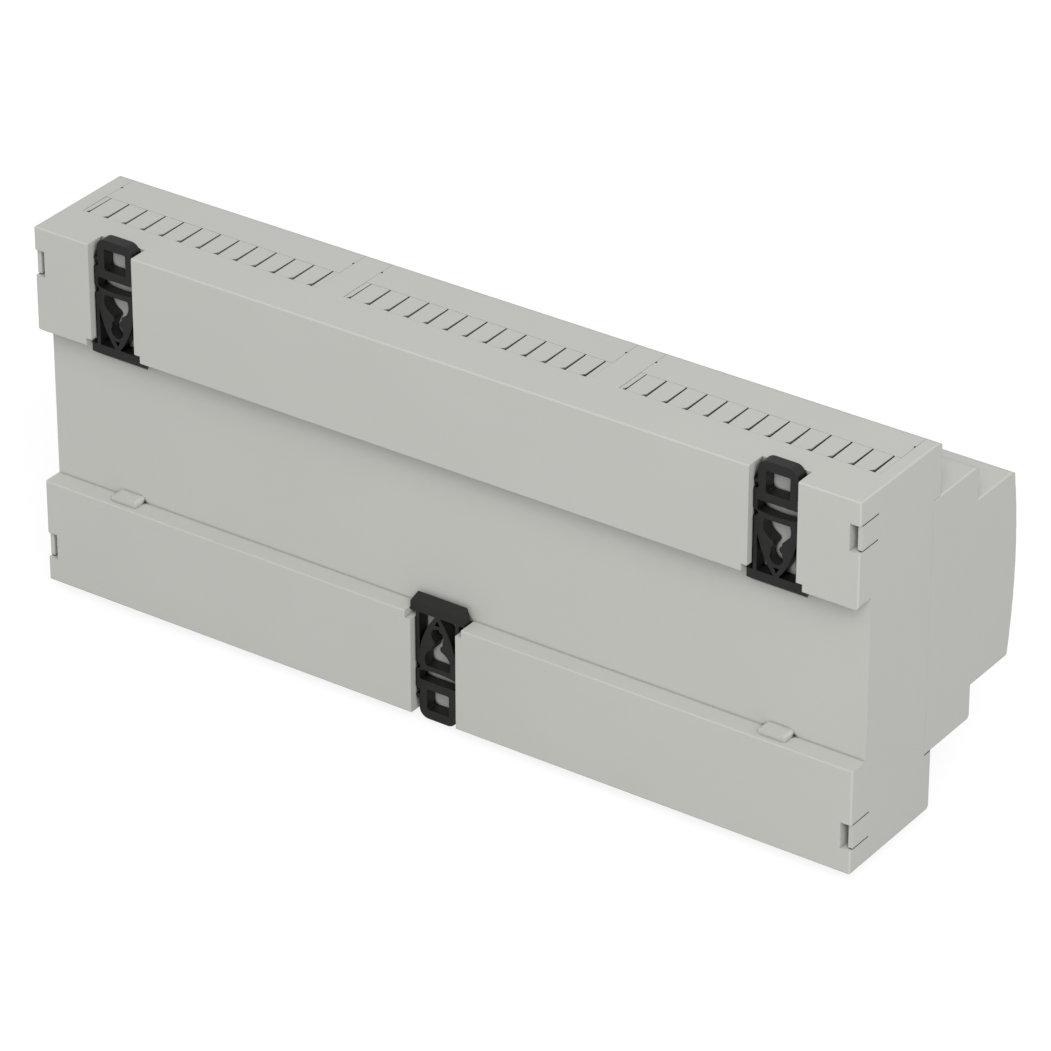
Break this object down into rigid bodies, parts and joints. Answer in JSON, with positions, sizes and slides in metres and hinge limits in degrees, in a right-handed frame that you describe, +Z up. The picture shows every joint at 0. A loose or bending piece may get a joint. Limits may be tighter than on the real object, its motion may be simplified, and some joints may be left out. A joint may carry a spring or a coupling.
{
  "type": "din rail enclosure",
  "caption": "Hollow stepped plastic housing for circuit modules with a rear channel and sprung clips that hold it on a 35 mm top-hat rail, and slotted terminal guards.",
  "frame": {"origin": "middle of the rail channel's floor, where the rail's flanges lie", "axes": "+X along the rail, to the right as seen from the front; +Y back towards the rail; +Z up"},
  "size_m": [0.2146, 0.0646, 0.0926],
  "materials": {
    "housing_plastic": "fine matt",
    "cover_plastic": "fine matt",
    "panel_plastic": "fine matt",
    "guard_plastic": "fine matt",
    "clip_plastic": "satin"
  },
  "bodies": {
    "housing": {"rear_base": "housing_plastic", "front_cover": "cover_plastic", "front_panel": "panel_plastic", "terminal_guard_upper_1": "guard_plastic", "terminal_guard_upper_2": "guard_plastic", "terminal_guard_upper_3": "guard_plastic", "terminal_guard_lower_1": "guard_plastic", "terminal_guard_lower_2": "guard_plastic", "terminal_guard_lower_3": "guard_plastic"},
    "upper_left_clip": {"rail_clip_upper_left": "clip_plastic"},
    "upper_right_clip": {"rail_clip_upper_right": "clip_plastic"},
    "lower_clip": {"rail_clip_lower": "clip_plastic"}
  },
  "joints": [
    {"name": "upper_left_clip_slide", "type": "slide", "parent": "housing", "child": "upper_left_clip", "axis": [0, 0, 1], "range_m": [0, 0.0014], "stiffness_N_per_m": 3000, "springref_m": -0.0005},
    {"name": "upper_right_clip_slide", "type": "slide", "parent": "housing", "child": "upper_right_clip", "axis": [0, 0, 1], "range_m": [0, 0.0014], "stiffness_N_per_m": 3000, "springref_m": -0.0005},
    {"name": "lower_clip_slide", "type": "slide", "parent": "housing", "child": "lower_clip", "axis": [0, 0, -1], "range_m": [0, 0.0014], "stiffness_N_per_m": 3000, "springref_m": -0.0005}
  ]
}
